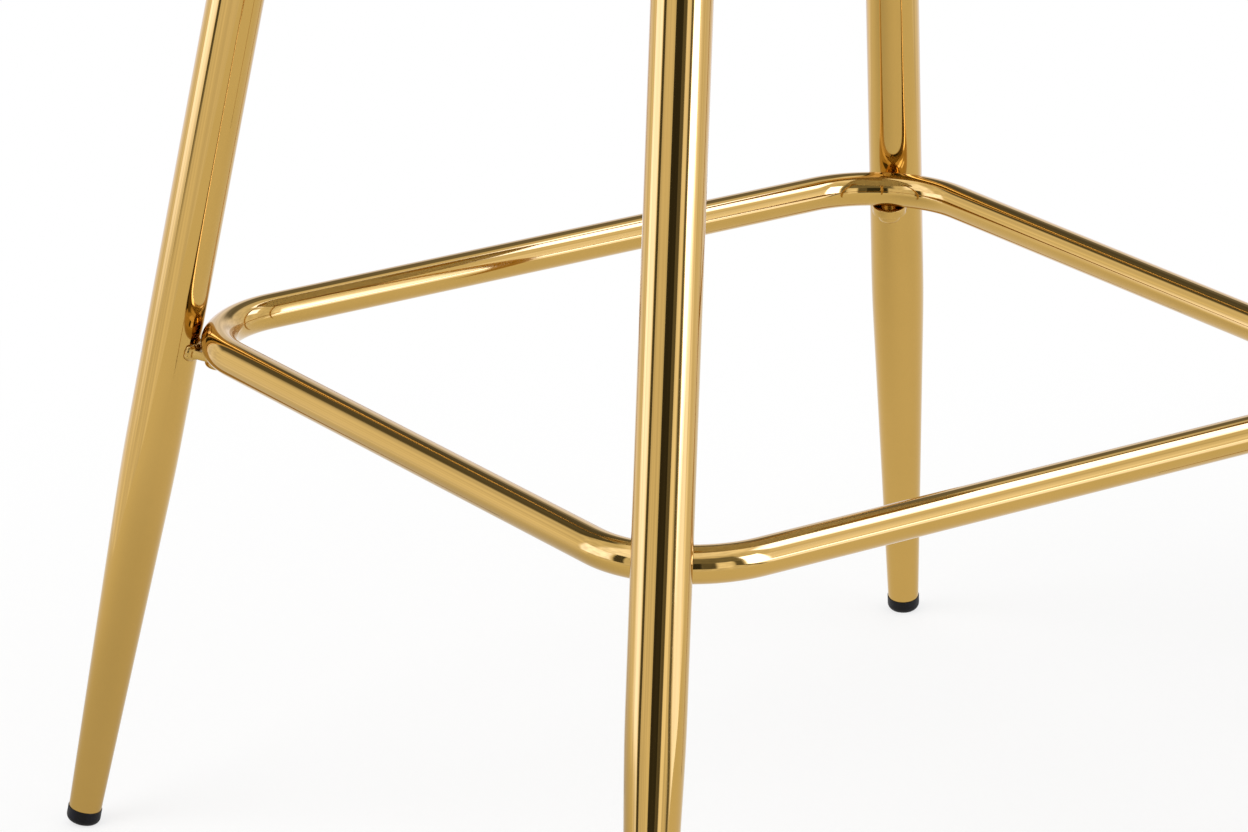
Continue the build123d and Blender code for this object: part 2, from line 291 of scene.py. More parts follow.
def row_tree():
    """Copies of one item along a path, turned to it and to the way it faces, a little uneven in size."""
    lengths = ["Spacing", "Smallest", "Largest"]
    tree, given = new_tree("Row along a path", Object=["Item"], Float=lengths, Int=["Seed"])
    curve = add(tree, "GeometryNodeMeshToCurve", {"Mesh": given["Geometry"]})
    even = {"Curve": curve, "Length": given["Spacing"]}
    even = add(tree, "GeometryNodeResampleCurve", even, mode="LENGTH")
    facing = add(tree, "GeometryNodeInputNamedAttribute", {"Name": "facing"}, data_type="FLOAT_VECTOR")
    axes = {"Primary Axis": facing, "Secondary Axis": add(tree, "GeometryNodeInputTangent")}
    turn = add(tree, "FunctionNodeAxesToRotation", axes, primary_axis="Z", secondary_axis="X")
    size = {"Min": given["Smallest"], "Max": given["Largest"], "Seed": given["Seed"]}
    size = add(tree, "FunctionNodeRandomValue", size)
    item = add(tree, "GeometryNodeObjectInfo", {"Object": given["Item"]}).outputs["Geometry"]
    copies = {"Points": even, "Instance": item, "Rotation": turn, "Scale": size}
    end_tree(tree, given, add(tree, "GeometryNodeInstanceOnPoints", copies))
    return tree


def closed_path(name, points, directions):
    """A closed line of points, each with the direction that it faces."""
    count = len(points)
    mesh = bpy.data.meshes.new(name)
    mesh.from_pydata(points, [(number, (number + 1) % count) for number in range(count)], [])
    marks = mesh.attributes.new("facing", "FLOAT_VECTOR", "POINT")
    for mark, direction in zip(marks.data, directions):
        mark.vector = direction
    return mesh


def row_of(name, item, path, spacing, uneven, material):
    """A piece made of copies of one item along a path."""
    sample = new_piece("sample", item)
    values = {
        "Item": sample,
        "Spacing": spacing,
        "Smallest": 1 - uneven,
        "Largest": 1 + uneven,
        "Seed": 7,
        "Material": material,
    }
    piece = settle(grow(name, row, values, path), material)
    bpy.data.objects.remove(sample)
    return piece


def weld_bead(name, points, width):
    """A closed weld: overlapping drops, fused to one rippled bead."""
    drop = bpy.data.meshes.new("drop")
    ball = bmesh.new()
    bmesh.ops.create_icosphere(ball, subdivisions=2, radius=width / 2)
    ball.to_mesh(drop)
    ball.free()
    path = closed_path(name, points, [Vector((0, 0, 1))] * len(points))
    bead = row_of(name, drop, path, WELD_STEP * width, WELD_UNEVEN, weld_gold)
    fuse = bead.modifiers.new("Fuse", "REMESH")
    fuse.mode = "VOXEL"
    fuse.voxel_size = WELD_GRAIN
    ease = bead.modifiers.new("Ease", "SMOOTH")
    ease.iterations = 2
    settle(bead, weld_gold, sharp=80)
    fit(bead, "gold_plate")


def leg_surface(corner, z, aside, out):
    """A point on the leg's skin at height z: its shares aside and outwards from the centre line."""
    side_x, side_y = CORNERS[corner]
    outwards = Vector((side_x, side_y, 0)).normalized()
    across = Vector((-outwards.y, outwards.x, 0))
    reach = outwards * out * LEG_STRETCH + across * aside
    return leg_point(corner, z) + reach * LEG_DIAMETER / 2


row = row_tree()
satin_gold = gold_plating("Satin_gold_plating", 0.2, ripple_width=0.0015, ripple_depth=0.00001)
weld_gold = gold_plating("Gold_plating_over_weld", 0.26, ripple_width=0.0009, ripple_depth=0.00006)
for corner in CORNERS:
    plate_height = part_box(f"leg_plate_{corner}")[0].z
    turns = [2 * math.pi * number / WELD_POINTS for number in range(WELD_POINTS)]
    joint = [leg_surface(corner, plate_height, math.sin(turn), math.cos(turn)) for turn in turns]
    weld_bead(f"plate_weld_{corner}", joint, PLATE_WELD_WIDTH)
    eased(f"seat_plate_{corner}", "gold_plate", satin_gold, PLATE_EASE, f"leg_plate_{corner}")

# Foot glides
# Four ribbed plugs of moulded black polyethylene, pushed into the swaged leg ends and square to them.
# Their round-edged heads are fine-grained, and a little scuffed on the tread that slides on the floor.


def black_polyethylene():
    """Dense black plastic with the fine grain of its mould, paler where it is scuffed."""
    grain_width = 0.0006
    scuff_width = 0.0035
    scuff_height = 0.0022
    material, tree, shader, place = new_material("Moulded_black_polyethylene")
    grain = add(tree, "TexNoise", {"Vector": place, "Scale": 1 / grain_width, "Detail": 2.0})
    scuff = add(tree, "TexNoise", {"Vector": place, "Scale": 1 / scuff_width, "Detail": 4.0})
    height = add(tree, "SeparateXYZ", {"Vector": place}).outputs["Z"]
    low = {"Value": height, "From Min": 0.0, "From Max": scuff_height, "To Min": 0.45, "To Max": 0.0}
    low = add(tree, "MapRange", low)
    worn = add(tree, "Math", {0: low, 1: scuff}, operation="MULTIPLY")
    shades = {"Factor": worn, "A": colour("#0B0A09"), "B": colour("#45433F")}
    shade = add(tree, "Mix", shades, data_type="RGBA")
    gloss = {"Value": scuff, **NOISE_SPAN, "To Min": 0.38, "To Max": 0.55}
    gloss = add(tree, "MapRange", gloss)
    bump = add(tree, "Bump", {"Height": grain, "Distance": 0.00003})
    wire(tree, shader, {"Base Color": shade, "Roughness": gloss, "Normal": bump, "Specular IOR Level": 0.2})
    return material


dress(black_polyethylene(), *[f"foot_glide_{corner}" for corner in CORNERS])

# Footrest lugs
# Four flat steel tongues, 16 mm wide and 4 mm thick, welded square to the insides of the legs to carry
# the ring. They are plated over the weld, which shows as a small rough bead round each tongue's root.
LUG_WIDTH = 0.016
LUG_THICKNESS = 0.004
RING_DIAMETER = 0.016
RING_TO_LEG = 0.001
LUG_REACH = RING_DIAMETER / 2 + RING_TO_LEG + LEG_DIAMETER / 2
ring_low, ring_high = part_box("footrest_ring")
ring_middle = (ring_low + ring_high) / 2
LUG_HEIGHT = ring_middle.z - RING_DIAMETER / 2 / LEG_STRETCH + LUG_REACH * LEG_LEAN
LUG_EASE = 0.0009
LUG_WELD_WIDTH = 0.0042
LUG_WELD_POINTS = 16


def lug_joint(corner, height):
    """Points across the inside of the leg, square to it, where one face of the lug meets its skin."""
    points = []
    for number in range(LUG_WELD_POINTS + 1):
        aside = LUG_WIDTH / LEG_DIAMETER * (2 * number / LUG_WELD_POINTS - 1)
        out = -math.sqrt(1 - aside**2)
        points.append(leg_surface(corner, height + LEG_LEAN * out * LEG_DIAMETER / 2, aside, out))
    return points


for corner in CORNERS:
    upper = lug_joint(corner, LUG_HEIGHT)
    lower = lug_joint(corner, LUG_HEIGHT - LUG_THICKNESS / LEG_STRETCH)
    weld_bead(f"lug_weld_{corner}", upper + lower[::-1], LUG_WELD_WIDTH)
    eased(f"ring_lug_{corner}", "gold_plate", satin_gold, LUG_EASE, f"footrest_lug_{corner}")

# Footrest ring
# One 16 mm tube bent to a rounded rectangle inside the legs and closed by a ground butt weld.
# It is polished and plated with the legs, and mirrors them at its corners.
RING_BEND_RADIUS = 0.048
RING_BEND_POINTS = 40
RING_STEP = 0.003
RING_SIDES = 64


def bent_ring_tree():
    """A tube round a rectangle with bent corners, lying level."""
    lengths = ["Width", "Depth", "Bend Radius", "Step", "Diameter"]
    tree, given = new_tree("Bent ring", Vector=["Height"], Float=lengths, Int=["Bend Points", "Sides"])
    plan = {"Width": given["Width"], "Height": given["Depth"]}
    plan = add(tree, "GeometryNodeCurvePrimitiveQuadrilateral", plan)
    bends = {"Curve": plan, "Radius": given["Bend Radius"], "Count": given["Bend Points"]}
    bends = add(tree, "GeometryNodeFilletCurve", bends, mode="POLY")
    even = {"Curve": bends, "Length": given["Step"]}
    even = add(tree, "GeometryNodeResampleCurve", even, mode="LENGTH")
    lifted = add(tree, "GeometryNodeSetPosition", {"Geometry": even, "Offset": given["Height"]})
    radius = add(tree, "Math", {0: given["Diameter"], 1: 0.5}, operation="MULTIPLY")
    circle = add(tree, "GeometryNodeCurvePrimitiveCircle", {"Resolution": given["Sides"], "Radius": radius})
    tube = {"Curve": lifted, "Profile Curve": circle}
    end_tree(tree, given, add(tree, "GeometryNodeCurveToMesh", tube))
    return tree


ring_sizes = {
    "Width": ring_high.x - ring_low.x - RING_DIAMETER,
    "Depth": ring_high.y - ring_low.y - RING_DIAMETER,
    "Height": Vector((0, 0, ring_middle.z)),
    "Bend Radius": RING_BEND_RADIUS,
    "Bend Points": RING_BEND_POINTS,
    "Step": RING_STEP,
    "Diameter": RING_DIAMETER,
    "Sides": RING_SIDES,
    "Material": polished_gold,
}
ring = settle(grow("footrest_ring_tube", bent_ring_tree(), ring_sizes), polished_gold)
fit(ring, "gold_plate", "footrest_ring")

# Footrest fasteners
# Four button-head screws and washers, plated with the frame, pass up through the lugs into the ring.
# They run in threaded inserts that were pressed into the tube's underside before plating.
SCREW_EASE = 0.0003
screw_gold = gold_plating("Gold_plated_screws", 0.12, ripple_width=0.002, ripple_depth=0.000005)
eased("ring_screws", "gold_plate", screw_gold, SCREW_EASE, "footrest_screws")
eased("ring_washers", "gold_plate", screw_gold, SCREW_EASE, "footrest_washers")
dress(screw_gold, "footrest_inserts")

# Seat board
# One piece of 15 mm birch plywood, ten plies, cut to the seat's outline and drilled for the tee nuts.
# It carries the foam, and the cover is stapled to its underside.


def birch_plywood():
    """Pale veneers with long grain; the glue lines and cross plies show dark on the edges."""
    ply = 0.0015
    grain_length = 0.09
    grain_width = 0.003
    grain = (1 / grain_length, 1 / grain_width, 1 / grain_width)
    material, tree, shader, place = new_material("Birch_plywood")
    height = add(tree, "SeparateXYZ", {"Vector": place}).outputs["Z"]
    layer = add(tree, "Math", {0: height, 1: 2 * ply, 2: 0.0}, operation="WRAP")
    layer = add(tree, "Math", {0: layer, 1: ply}, operation="GREATER_THAN")
    along = add(tree, "VectorMath", {0: place, 1: grain}, operation="MULTIPLY")
    figure = add(tree, "TexNoise", {"Vector": along, "Scale": 1.0, "Detail": 4.0, "Distortion": 0.6})
    face = {"Factor": figure, "A": colour("#DCC39A"), "B": colour("#C6A372")}
    face = add(tree, "Mix", face, data_type="RGBA")
    cross = {"Factor": figure, "A": colour("#B08A5B"), "B": colour("#94703F")}
    cross = add(tree, "Mix", cross, data_type="RGBA")
    shade = add(tree, "Mix", {"Factor": layer, "A": face, "B": cross}, data_type="RGBA")
    bump = add(tree, "Bump", {"Height": figure, "Distance": 0.0001})
    wire(tree, shader, {"Base Color": shade, "Roughness": 0.62, "Normal": bump})
    return material


dress(birch_plywood(), "seat_board")

# Tee nuts
# Sixteen flanged steel nuts, zinc plated, pulled into the top of the board before the foam is glued on.
# Each has a 19 mm flange and a threaded barrel that reaches most of the way through the plies.


def zinc_plating():
    """Bright zinc on steel, grey with a cold cast and cloudy patches."""
    cloud_width = 0.004
    material, tree, shader, place = new_material("Zinc_plated_steel")
    cloud = add(tree, "TexNoise", {"Vector": place, "Scale": 1 / cloud_width, "Detail": 4.0})
    shades = {"Factor": cloud, "A": colour("#A9ADB0"), "B": colour("#C9CCCB")}
    shade = add(tree, "Mix", shades, data_type="RGBA")
    gloss = {"Value": cloud, **NOISE_SPAN, "To Min": 0.24, "To Max": 0.4}
    gloss = add(tree, "MapRange", gloss)
    wire(tree, shader, {"Base Color": shade, "Roughness": gloss, "Metallic": 1.0})
    return material


zinc = zinc_plating()
dress(zinc, "seat_tee_nuts")

# Seat foam
# One block of polyurethane foam cut to the board's outline, crowned 12 mm and glued down.
# The cover holds it at the seam, so it swells between its edges.
SEAT_CORNER = 0.072
SEAT_CROWN = 0.012
SEAT_EDGE_ROUND = 0.014
SEAT_STRAIGHT_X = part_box("seat_top_panel")[1].x - SEAT_CORNER
SEAT_STRAIGHT_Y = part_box("seat_top_panel")[1].y - SEAT_CORNER
SEAT_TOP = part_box("seat_top_panel")[1].z
SEAM_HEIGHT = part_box("seat_top_panel")[0].z
BOARD_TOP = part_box("seat_board")[1].z
COVER_THICKNESS = 0.0015
PAD_POINTS = 240
PAD_HEM = 0.012
PAD_FLAT = 0.06
PAD_SLACK = 0.0025
PAD_SWELL = 0.007
PAD_PRESSURE = 4.0
PAD_GRAIN = 0.005
PAD_FRAMES = 20
SEAM_GRIP = 0.002
FOAM_GAP = 0.0005
FOAM_FOOT = 0.008
GLUE_THICKNESS = 0.0002
ROUND_THE_SEAT = ("rear_left", "front_left", "front_right", "rear_right", "rear_left")


def seat_edge(inset, share):
    """Point and outward direction at a share of the way round the seat, from the middle of its rear."""
    radius = SEAT_CORNER - inset
    bend = radius * math.pi / 2
    distance = SEAT_STRAIGHT_X + share * (4 * SEAT_STRAIGHT_X + 4 * SEAT_STRAIGHT_Y + 4 * bend)
    for number, corner in enumerate(ROUND_THE_SEAT):
        side_x, side_y = CORNERS[corner]
        run = 2 * SEAT_STRAIGHT_Y if number % 2 else 2 * SEAT_STRAIGHT_X
        turned = min(max((distance - run) / radius, 0), math.pi / 2)
        angle = math.pi / 2 * (number + 1) + turned
        short = max(run - distance, 0)
        if distance <= run + bend:
            break
        distance -= run + bend
    out = Vector((math.cos(angle), math.sin(angle), 0))
    ahead = Vector((-out.y, out.x, 0))
    centre = Vector((side_x * SEAT_STRAIGHT_X, side_y * SEAT_STRAIGHT_Y, 0))
    return centre + out * radius - ahead * short, out


def from_edge(point):
    """The point of the seat's outline nearest to a point, and the distance inwards from it."""
    inner_x = max(-SEAT_STRAIGHT_X, min(SEAT_STRAIGHT_X, point.x))
    inner_y = max(-SEAT_STRAIGHT_Y, min(SEAT_STRAIGHT_Y, point.y))
    inner = Vector((inner_x, inner_y, 0))
    away = Vector((point.x, point.y, 0)) - inner
    return inner + away.normalized() * SEAT_CORNER, SEAT_CORNER - away.length


def crown_height(point):
    """The seat's top over a point of its plan."""
    return SEAT_TOP - SEAT_CROWN * (point.x**2 + point.y**2) / (SEAT_STRAIGHT_X + SEAT_CORNER) ** 2


def skin(name, loops, first=None, last=None):
    """A mesh over closed loops of points, from below up or from inside out, with end points if given."""
    points = [point for loop in loops for point in loop]
    count = len(loops[0])
    faces = []
    for level in range(len(loops) - 1):
        for number in range(count):
            here = level * count + number
            ahead = level * count + (number + 1) % count
            faces.append((here, ahead, ahead + count, here + count))
    if first is not None:
        points.append(first)
        faces += [((number + 1) % count, number, len(points) - 1) for number in range(count)]
    if last is not None:
        points.append(last)
        top = (len(loops) - 1) * count
        faces += [(top + number, top + (number + 1) % count, len(points) - 1) for number in range(count)]
    mesh = bpy.data.meshes.new(name)
    mesh.from_pydata(points, [], faces)
    return mesh


def pad_form():
    """The stuffed cover before it swells: upright at the seam, rounded over the edge, crowned."""
    shares = [number / PAD_POINTS for number in range(PAD_POINTS)]
    low = SEAM_HEIGHT - PAD_HEM
    outline = [seat_edge(0, share)[0] for share in shares]
    loops = [[point + Vector((0, 0, height)) for point in outline] for height in (low, SEAM_HEIGHT)]
    for step in range(7):
        turn = math.radians(15 * step)
        inset = PAD_SLACK + SEAT_EDGE_ROUND * (1 - math.cos(turn))
        drop = PAD_SLACK + SEAT_EDGE_ROUND * (1 - math.sin(turn))
        loop = [seat_edge(inset, share)[0] for share in shares]
        for point in loop:
            point.z = max(crown_height(point) - drop, SEAM_HEIGHT + SEAM_GRIP / 2)
        loops.append(loop)
    inner = [seat_edge(PAD_FLAT, share)[0] for share in shares]
    for size in (1.1, 1.0, 0.75, 0.5, 0.25):
        loop = [point * size for point in inner]
        for point in loop:
            point.z = crown_height(point) - PAD_SLACK
        loops.append(loop)
    return skin("pad", loops, Vector((0, 0, low)), Vector((0, 0, SEAT_TOP - PAD_SLACK)))


def swell(pad):
    """Fill the pad like a stuffed cover held at its seam, moving no point further than the swell."""
    start = [vertex.co.copy() for vertex in pad.data.vertices]
    held = [number for number, point in enumerate(start) if point.z < SEAM_HEIGHT + SEAM_GRIP]
    pad.vertex_groups.new(name="seam").add(held, 1.0, "REPLACE")
    cloth = pad.modifiers.new("Stuffing", "CLOTH")
    cloth.settings.vertex_group_mass = "seam"
    cloth.settings.use_pressure = True
    cloth.settings.uniform_pressure_force = PAD_PRESSURE
    cloth.settings.effector_weights.gravity = 0.0
    cloth.settings.quality = 6
    for number in range(1, PAD_FRAMES + 1):
        bpy.context.scene.frame_set(number)
    evaluated = pad.evaluated_get(bpy.context.evaluated_depsgraph_get())
    filled = [vertex.co.copy() for vertex in evaluated.data.vertices]
    pad.modifiers.remove(cloth)
    bpy.context.scene.frame_set(1)
    for vertex, before, after in zip(pad.data.vertices, start, filled):
        move = after - before
        share = PAD_SWELL * math.tanh(move.length / PAD_SWELL) / max(move.length, 1e-9)
        vertex.co = before + move * share
    pad.data.update()


def cut_foam():
    """Cream polyurethane foam with open cells of about a millimetre, with painted shade in each cell's pit.
    """
    cell_width = 0.0012
    material, tree, shader, place = new_material("Polyurethane_foam")
    cell = add(tree, "TexVoronoi", {"Vector": place, "Scale": 1 / cell_width}).outputs["Distance"]
    # painted shade: the middle of each cell, its pit, is painted darker than its walls
    shades = {"Factor": cell, "A": colour("#C9BB86"), "B": colour("#EADFB4")}
    shade = add(tree, "Mix", shades, data_type="RGBA")
    bump = add(tree, "Bump", {"Height": cell, "Distance": 0.0004})
    wire(tree, shader, {"Base Color": shade, "Roughness": 0.95, "Normal": bump})
    return material


pad = new_piece("pad", pad_form())
grain = pad.modifiers.new("Grain", "REMESH")
grain.mode = "VOXEL"
grain.voxel_size = PAD_GRAIN
foam_material = cut_foam()
settle(pad, foam_material)
swell(pad)
foam = new_piece("seat_foam_block", pad.data.copy())
inwards = [vertex.normal * (COVER_THICKNESS + FOAM_GAP) for vertex in foam.data.vertices]
for vertex, step in zip(foam.data.vertices, inwards):
    vertex.co -= step
    if vertex.co.z < SEAM_HEIGHT - FOAM_FOOT:
        vertex.co.z = BOARD_TOP + GLUE_THICKNESS
foam.data.update()
settle(foam, foam_material)
fit(foam, "foam", "seat_foam")

# Seat cover top
# One panel of short-pile cotton velvet, pulled over the foam and sewn to the side band along the piping.
# The seam gathers it in small puckers that run out over the rounded edge.
PUCKER_WIDTH = 0.011
PUCKER_DEPTH = 0.0012
PUCKER_REACH = 0.011
LUMP_WIDTH = 0.08
LUMP_DEPTH = 0.0012
LUMP_RISE = 0.02


def velvet():
    """Ivory velvet: painted sheen in brushed patches, painted shade between the tufts, a soft sheen along
    its edges.
    """
    painted_sheen_width = 0.045
    tuft_width = 0.0007
    material, tree, shader, place = new_material("Ivory_cotton_velvet")
    # painted sheen: patches of the pile are painted paler and darker, as the light would catch them
    painted_sheen_patch = {"Vector": place, "Scale": 1 / painted_sheen_width, "Detail": 3.0, "Distortion": 0.8}
    painted_sheen_patch = add(tree, "TexNoise", painted_sheen_patch)
    painted_sheen_patch = add(tree, "MapRange", {"Value": painted_sheen_patch, "From Min": 0.35, "From Max": 0.65})
    tuft = add(tree, "TexNoise", {"Vector": place, "Scale": 1 / tuft_width, "Detail": 2.0})
    painted_pile_sheen = {"Factor": painted_sheen_patch, "A": colour("#C9BBA6"), "B": colour("#D9CDBB")}
    painted_pile_sheen = add(tree, "Mix", painted_pile_sheen, data_type="RGBA")
    # painted shade: the low places between the tufts are painted darker
    painted_tuft_shade = {"Value": tuft, "From Min": 0.35, "From Max": 0.65, "To Min": 0.3, "To Max": 0.0}
    painted_tuft_shade = add(tree, "MapRange", painted_tuft_shade)
    shades = {"Factor": painted_tuft_shade, "A": painted_pile_sheen, "B": colour("#A3937D")}
    shade = add(tree, "Mix", shades, data_type="RGBA")
    bump = add(tree, "Bump", {"Height": tuft, "Distance": 0.0002, "Strength": 0.7})
    wire(tree, shader, {"Base Color": shade, "Roughness": 0.9, "Normal": bump, "Specular IOR Level": 0.2})
    sheen = {"Sheen Weight": 0.35, "Sheen Roughness": 0.4, "Sheen Tint": colour("#F3E9DA")}
    wire(tree, shader, sheen)
    return material


def gather(point, distance):
    """How far the cloth stands out in puckers near the seam, by its distance from the seam."""
    edge = from_edge(point)[0]
    return PUCKER_DEPTH * noise.noise(edge / PUCKER_WIDTH) * math.exp(-distance / PUCKER_REACH)


velvet_material = velvet()
panel = bmesh.new()
panel.from_mesh(pad.data)
whole = panel.verts[:] + panel.edges[:] + panel.faces[:]
at_seam = Vector((0, 0, SEAM_HEIGHT))
bmesh.ops.bisect_plane(panel, geom=whole, plane_co=at_seam, plane_no=(0, 0, 1), clear_inner=True)
panel.to_mesh(pad.data)
panel.free()
cover = pad
cover.name = "seat_cover_top"
cover.vertex_groups.clear()
finer = cover.modifiers.new("Finer", "SUBSURF")
finer.levels = 1
finer.render_levels = 1
settle(cover, velvet_material)
normals = [vertex.normal.copy() for vertex in cover.data.vertices]
for vertex, normal in zip(cover.data.vertices, normals):
    climb = vertex.co.z - SEAM_HEIGHT
    inset = from_edge(vertex.co)[1]
    lump = LUMP_DEPTH * noise.noise(vertex.co / LUMP_WIDTH) * min(1, climb / LUMP_RISE)
    vertex.co += normal * (lump + gather(vertex.co, climb + max(inset, 0)))
cover.data.update()
thicken(cover, COVER_THICKNESS)
settle(cover, velvet_material, sharp=60)
fit(cover, "seat_cloth", "seat_top_panel")

# Seat cover side band
# A strip of the same velvet, 36 mm high, sewn to the top panel, drawn down over the board's edge and
# turned 26 mm under it. It is closed by one seam at the middle of the back and pleated under the corners.
BAND_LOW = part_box("seat_side_band")[0].z
BAND_TURN = 0.0278
BAND_ROUND = 0.005
BAND_POINTS = 520
BAND_TURN_STEPS = 14
BAND_ROUND_STEPS = 8
BAND_RISE_STEPS = 24
BAND_BULGE = 0.0014
BAND_WAVE_WIDTH = 0.023
BAND_WAVE_DEPTH = 0.0009
BAND_WAVE_SHIFT = 7
BAND_WAVE_TURN = 1.2
REAR_SEAM_WIDTH = 0.0014
REAR_SEAM_DEPTH = 0.0012
STITCH_DROP = 0.0065
STITCH_GROOVE_WIDTH = 0.0012
STITCH_GROOVE_DEPTH = 0.0006
PLEAT_WIDTH = 0.009
PLEAT_DEPTH = 0.0016
PLEAT_START = 0.002
PLEAT_RUN = 0.006
STAPLE_INSET = 0.0148
STAPLE_PRESS = 0.005


def band_profile():
    """The band's section from its edge under the board out, round and up to the seam: inset and height."""
    run = BAND_ROUND - BAND_TURN
    places = [(BAND_TURN + run * step / BAND_TURN_STEPS, BAND_LOW) for step in range(BAND_TURN_STEPS)]
    for step in range(BAND_ROUND_STEPS + 1):
        turn = math.pi / 2 * step / BAND_ROUND_STEPS
        places.append((BAND_ROUND * (1 - math.sin(turn)), BAND_LOW + BAND_ROUND * (1 - math.cos(turn))))
    rise = SEAM_HEIGHT - BAND_LOW - BAND_ROUND
    for step in range(1, BAND_RISE_STEPS + 1):
        places.append((0, BAND_LOW + BAND_ROUND + rise * step / BAND_RISE_STEPS))
    return places


def band_point(inset, height, share):
    """A point of the band with its bulge, puckers, rear seam, stitch groove and stapled corner pleats."""
    point, out = seat_edge(inset, share)
    edge = from_edge(point)[0]
    rise = (height - BAND_LOW) / (SEAM_HEIGHT - BAND_LOW)
    length = 4 * (SEAT_STRAIGHT_X + SEAT_STRAIGHT_Y) + 2 * math.pi * SEAT_CORNER
    from_rear = min(share, 1 - share) * length
    stand = BAND_BULGE * math.sin(math.pi * rise)
    stand += gather(edge, SEAM_HEIGHT - height)
    shift = Vector((0, 0, BAND_WAVE_SHIFT + BAND_WAVE_TURN * rise))
    wave = noise.noise(edge / BAND_WAVE_WIDTH + shift)
    stand += BAND_WAVE_DEPTH * wave * math.sin(math.pi * rise)
    sewn = (height - SEAM_HEIGHT + STITCH_DROP) / STITCH_GROOVE_WIDTH
    stand -= STITCH_GROOVE_DEPTH * math.exp(-(sewn**2))
    stand -= REAR_SEAM_DEPTH * math.exp(-((from_rear / REAR_SEAM_WIDTH) ** 2))
    corner = 2 * min(abs(out.x), abs(out.y))
    fold = max(0, math.cos(math.pi * from_rear / PLEAT_WIDTH))
    fold *= min(1, max(0, inset - PLEAT_START) / PLEAT_RUN)
    loose = min(1, abs(inset - STAPLE_INSET) / STAPLE_PRESS)
    drop = PLEAT_DEPTH * fold * loose * min(1, corner) * (1 - rise)
    return point + out * stand + Vector((0, 0, height - drop))


band_loops = []
for inset, height in band_profile():
    band_loops.append([band_point(inset, height, number / BAND_POINTS) for number in range(BAND_POINTS)])
band = new_piece("seat_cover_band", skin("seat_cover_band", band_loops))
thicken(band, COVER_THICKNESS)
settle(band, velvet_material, sharp=60)
fit(band, "seat_cloth", "seat_side_band")

# Piping
# A 5 mm cord wrapped in a bias strip of the velvet and sewn into the seam between the top and the band.
# It stands a little proud of both, and swells slightly where the strip is slack.
PIPING_DIAMETER = 0.005
PIPING_PROUD = 0.0012
PIPING_STEP = 0.0025


def piping_tree():
    """A soft tube along a path, a little uneven where the strip is drawn tight."""
    lengths = ["Diameter", "Step", "Uneven Width", "Uneven Share"]
    tree, given = new_tree("Piping", Float=lengths, Int=["Sides"])
    curve = add(tree, "GeometryNodeMeshToCurve", {"Mesh": given["Geometry"]})
    even = {"Curve": curve, "Length": given["Step"]}
    even = add(tree, "GeometryNodeResampleCurve", even, mode="LENGTH")
    scale = add(tree, "Math", {0: 1.0, 1: given["Uneven Width"]}, operation="DIVIDE")
    swing = add(tree, "TexNoise", {"Scale": scale, "Detail": 1.0})
    low = add(tree, "Math", {0: 1.0, 1: given["Uneven Share"]}, operation="SUBTRACT")
    high = add(tree, "Math", {0: 1.0, 1: given["Uneven Share"]}, operation="ADD")
    size = {"Value": swing, **NOISE_SPAN, "To Min": low, "To Max": high}
    size = add(tree, "MapRange", size)
    radius = add(tree, "Math", {0: given["Diameter"], 1: 0.5}, operation="MULTIPLY")
    circle = add(tree, "GeometryNodeCurvePrimitiveCircle", {"Resolution": given["Sides"], "Radius": radius})
    tube = {"Curve": even, "Profile Curve": circle.outputs["Curve"], "Scale": size}
    end_tree(tree, given, add(tree, "GeometryNodeCurveToMesh", tube))
    return tree


piping_edge = [seat_edge(-PIPING_PROUD, number / BAND_POINTS) for number in range(BAND_POINTS)]
piping_points = [point + at_seam for point, out in piping_edge]
piping_path = closed_path("seat_piping", piping_points, [out for point, out in piping_edge])
piping_sizes = {
    "Diameter": PIPING_DIAMETER,
    "Step": PIPING_STEP,
    "Sides": 16,
    "Uneven Width": 0.012,
    "Uneven Share": 0.05,
    "Material": velvet_material,
}
piping = settle(grow("seat_piping", piping_tree(), piping_sizes, piping_path), velvet_material, sharp=80)
fit(piping, "seat_cloth", "seat_welt")

# Top stitching
# Ivory polyester thread in 4.6 mm machine stitches, one row just above the piping and one just below.
# It holds the edges of the seam flat, and each stitch dips into the cloth at its ends.
STITCH_SPACING = 0.0046
STITCH_LENGTH = 0.0038
STITCH_BOW = 0.55
STITCH_TAPER = 3.4
STITCH_UNEVEN = 0.05
STITCH_REACH = 0.03
THREAD_DIAMETER = 0.0007
STITCH_POINTS = 400


def stitch():
    """One stitch: a bowed thread whose ends dip into the cloth."""
    loops = []
    for step in range(6):
        along = step / 5 - 0.5
        bow = THREAD_DIAMETER * STITCH_BOW * (1 - 8 * along**2)
        thin = THREAD_DIAMETER / 2 * math.sqrt(1 - STITCH_TAPER * along**2)
        middle = Vector((along * STITCH_LENGTH, 0, bow))
        turns = [math.pi * number / 3 for number in range(6)]
        loops.append([middle + Vector((0, thin * math.cos(turn), thin * math.sin(turn))) for turn in turns])
    return skin("stitch", loops, loops[0][0].lerp(loops[0][3], 0.5), loops[-1][0].lerp(loops[-1][3], 0.5))


def sewing_thread():
    """Spun polyester with a soft gloss, with painted light and shade on the turns of its twist."""
    painted_twist_light_width = 0.0007
    material, tree, shader, place = new_material("Ivory_polyester_thread")
    painted_twist_light = add(tree, "TexNoise", {"Vector": place, "Scale": 1 / painted_twist_light_width})
    # painted light and shade: patches of the thread painted paler and darker, as on the turns of a twist
    shades = {"Factor": painted_twist_light, "A": colour("#CFC3AF"), "B": colour("#EDE4D4")}
    shade = add(tree, "Mix", shades, data_type="RGBA")
    wire(tree, shader, {"Base Color": shade, "Roughness": 0.5})
    return material


